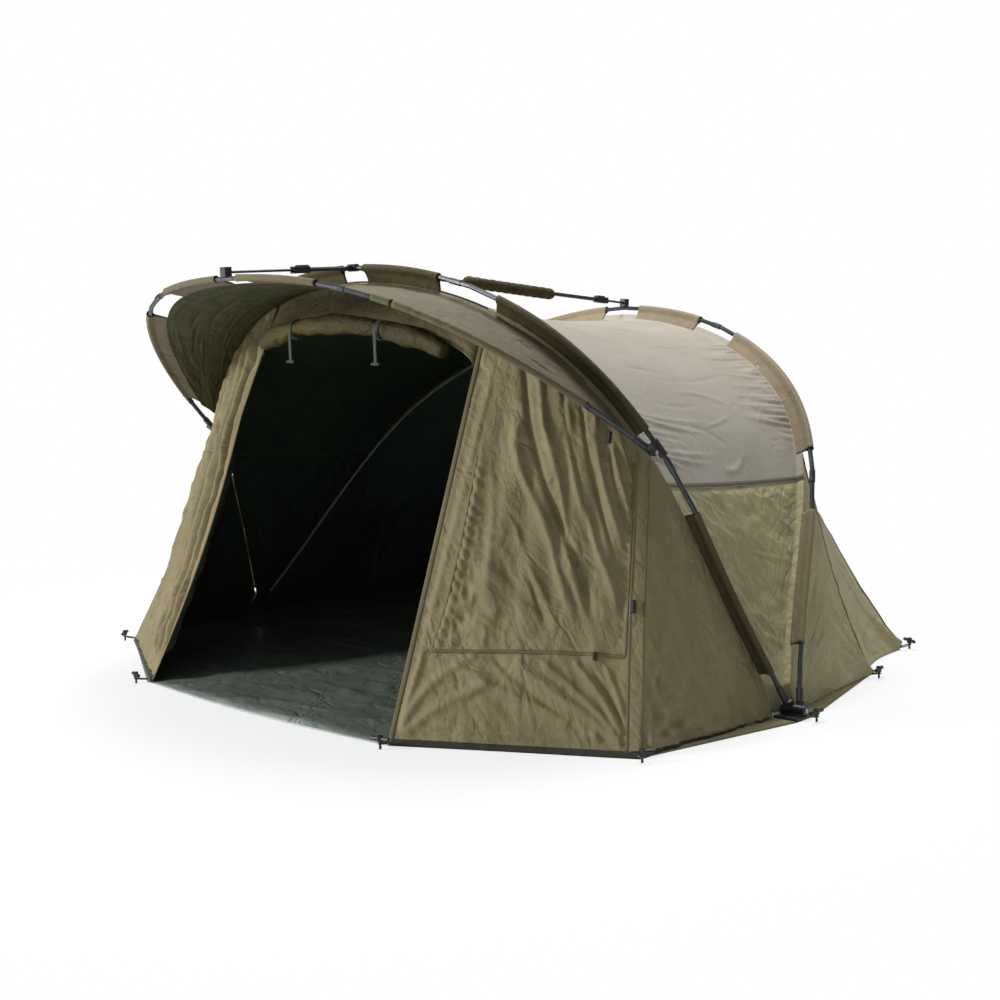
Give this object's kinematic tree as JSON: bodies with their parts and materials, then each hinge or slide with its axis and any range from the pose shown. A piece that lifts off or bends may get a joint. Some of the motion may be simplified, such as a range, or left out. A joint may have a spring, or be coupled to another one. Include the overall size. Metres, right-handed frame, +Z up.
{
  "type": "bivvy tent",
  "caption": "Two-person angling bivvy tent with folding arched ribs, a braced peak over an open doorway, cloth walls, a groundsheet and tee-handled pegs.",
  "frame": {"origin": "centre of the bounding box on the ground, below the middle of the line between the hub blocks", "axes": "+X to the right-hand hub seen from the front, +Y to the rear, +Z up; the doorway faces -Y"},
  "size_m": [3.204, 2.2861, 1.5451],
  "materials": {
    "roof_cloth": "grey-beige proofed polyester, lightly wrinkled",
    "wall_cloth": "dark olive ripstop polyester with soft folds",
    "hood_cloth": "dark olive polyester in shade",
    "floor_cloth": "glossy coated PVC sheet, near black",
    "webbing": "woven dark green tape",
    "pole_metal": "dark grey anodised tube",
    "black_plastic": "moulded black nylon",
    "steel": "plain steel pin"
  },
  "bodies": {
    "root": {"groundsheet": "floor_cloth", "hub_block_left": "black_plastic", "hub_block_right": "black_plastic", "hub_pin_left": "steel", "hub_pin_right": "steel", "rear_wall": "wall_cloth"},
    "rear_rib": {"rear_rib_crown": "pole_metal", "rear_rib_leg_left": "pole_metal", "rear_rib_leg_right": "pole_metal", "rear_rib_foot_left": "black_plastic", "rear_rib_foot_right": "black_plastic", "roof_canopy": "roof_cloth"},
    "front_rib": {"front_rib_crown": "pole_metal", "front_rib_leg_left": "pole_metal", "front_rib_leg_right": "pole_metal", "front_rib_foot_left": "black_plastic", "front_rib_foot_right": "black_plastic", "y_block_left": "black_plastic", "y_block_right": "black_plastic", "y_pin_left": "steel", "y_pin_right": "steel", "bar_bracket": "black_plastic", "hood_canopy": "hood_cloth", "front_wall_left": "wall_cloth", "front_wall_right": "wall_cloth", "door_header": "wall_cloth", "door_roll": "wall_cloth", "door_tie_left": "webbing", "door_tie_right": "webbing", "toggle_lower": "black_plastic", "toggle_upper": "black_plastic"},
    "peak_rib": {"peak_rib_crown": "pole_metal", "peak_rib_leg_left": "pole_metal", "peak_rib_leg_right": "pole_metal", "peak_rib_foot_left": "black_plastic", "peak_rib_foot_right": "black_plastic"},
    "front_bar": {"front_bar_tube": "pole_metal", "front_bar_lock": "black_plastic"},
    "front_bar_end": {"front_bar_rod": "pole_metal", "front_bar_hook": "black_plastic"},
    "rear_bar": {"rear_bar_tube": "pole_metal", "rear_bar_cover": "wall_cloth", "rear_bar_lock": "black_plastic"},
    "rear_bar_end": {"rear_bar_rod": "pole_metal", "rear_bar_hook": "black_plastic"},
    "peg_door_right": {"peg_door_right": "black_plastic"},
    "peg_door_left": {"peg_door_left": "black_plastic"},
    "peg_corner_right": {"peg_corner_right": "black_plastic"},
    "peg_corner_left": {"peg_corner_left": "black_plastic"},
    "peg_hub_right": {"peg_hub_right": "black_plastic"},
    "peg_hub_left": {"peg_hub_left": "black_plastic"},
    "peg_side_right": {"peg_side_right": "black_plastic"},
    "peg_side_left": {"peg_side_left": "black_plastic"},
    "peg_rear_right": {"peg_rear_right": "black_plastic"},
    "peg_rear_left": {"peg_rear_left": "black_plastic"},
    "door_zip_slider_right": {"door_zip_slider_right": "black_plastic"},
    "door_zip_slider_left": {"door_zip_slider_left": "black_plastic"},
    "window_zip_slider": {"window_zip_slider": "black_plastic"}
  },
  "joints": [
    {"name": "rear_rib_fold", "type": "hinge", "parent": "root", "child": "rear_rib", "pos_m": [0, 0, 0.03], "axis": [-1, 0, 0], "range_deg": [0, 50], "deforming": ["rear_wall"]},
    {"name": "front_rib_fold", "type": "hinge", "parent": "rear_rib", "child": "front_rib", "pos_m": [0, 0, 0.03], "axis": [-1, 0, 0], "range_deg": [0, 40], "deforming": ["roof_canopy", "front_wall_left", "front_wall_right"]},
    {"name": "peak_rib_fold", "type": "hinge", "parent": "front_rib", "child": "peak_rib", "pos_m": [0, -0.3503, 0.8952], "axis": [-1, 0, 0], "range_deg": [0, 30], "deforming": ["hood_canopy"]},
    {"name": "front_bar_swing", "type": "hinge", "parent": "front_rib", "child": "front_bar", "pos_m": [0, -0.57842, 1.5298], "axis": [-1, 0, 0], "range_deg": [0, 84]},
    {"name": "front_bar_slide", "type": "slide", "parent": "front_bar", "child": "front_bar_end", "axis": [0, 0.9996, 0.0274], "range_m": [0, 0.131]},
    {"name": "rear_bar_swing", "type": "hinge", "parent": "front_rib", "child": "rear_bar", "pos_m": [0, -0.52663, 1.52874], "axis": [1, 0, 0], "range_deg": [0, 72.1]},
    {"name": "rear_bar_slide", "type": "slide", "parent": "rear_bar", "child": "rear_bar_end", "axis": [0, -0.9955, 0.0949], "range_m": [0, 0.098]},
    {"name": "peg_door_right_turn", "type": "hinge", "parent": "root", "child": "peg_door_right", "pos_m": [0.7027, -1.11281, 0.01], "axis": [0, 0, 1], "continuous": true},
    {"name": "peg_door_left_turn", "type": "hinge", "parent": "root", "child": "peg_door_left", "pos_m": [-0.7027, -1.11281, 0.01], "axis": [0, 0, 1], "continuous": true},
    {"name": "peg_corner_right_turn", "type": "hinge", "parent": "root", "child": "peg_corner_right", "pos_m": [1.43223, -0.7092, 0.01], "axis": [0, 0, 1], "continuous": true},
    {"name": "peg_corner_left_turn", "type": "hinge", "parent": "root", "child": "peg_corner_left", "pos_m": [-1.43223, -0.7092, 0.01], "axis": [0, 0, 1], "continuous": true},
    {"name": "peg_hub_right_turn", "type": "hinge", "parent": "root", "child": "peg_hub_right", "pos_m": [1.586, 0, 0.01], "axis": [0, 0, 1], "continuous": true},
    {"name": "peg_hub_left_turn", "type": "hinge", "parent": "root", "child": "peg_hub_left", "pos_m": [-1.586, 0, 0.01], "axis": [0, 0, 1], "continuous": true},
    {"name": "peg_side_right_turn", "type": "hinge", "parent": "root", "child": "peg_side_right", "pos_m": [1.43822, 0.64084, 0.01], "axis": [0, 0, 1], "continuous": true},
    {"name": "peg_side_left_turn", "type": "hinge", "parent": "root", "child": "peg_side_left", "pos_m": [-1.43822, 0.64084, 0.01], "axis": [0, 0, 1], "continuous": true},
    {"name": "peg_rear_right_turn", "type": "hinge", "parent": "root", "child": "peg_rear_right", "pos_m": [1.28389, 1.13378, 0.01], "axis": [0, 0, 1], "continuous": true},
    {"name": "peg_rear_left_turn", "type": "hinge", "parent": "root", "child": "peg_rear_left", "pos_m": [-1.28389, 1.13378, 0.01], "axis": [0, 0, 1], "continuous": true},
    {"name": "door_zip_slider_right_run", "type": "slide", "parent": "front_rib", "child": "door_zip_slider_right", "axis": [0.0483, -0.3958, -0.9171], "range_m": [0, 0.7]},
    {"name": "door_zip_slider_left_run", "type": "slide", "parent": "front_rib", "child": "door_zip_slider_left", "axis": [-0.1122, -0.3729, -0.9211], "range_m": [0, 0.7]},
    {"name": "window_zip_slider_run", "type": "slide", "parent": "front_rib", "child": "window_zip_slider", "axis": [-0.874, -0.486, -0.006], "range_m": [0, 0.4]}
  ],
  "couplings": [
    {"joint": "front_bar_swing", "follows": "peak_rib_fold", "ratio": 2.8},
    {"joint": "front_bar_slide", "follows": "peak_rib_fold", "m_per_rad": 0.25},
    {"joint": "rear_bar_swing", "follows": "front_rib_fold", "ratio": 1.8},
    {"joint": "rear_bar_slide", "follows": "front_rib_fold", "m_per_rad": 0.14}
  ]
}
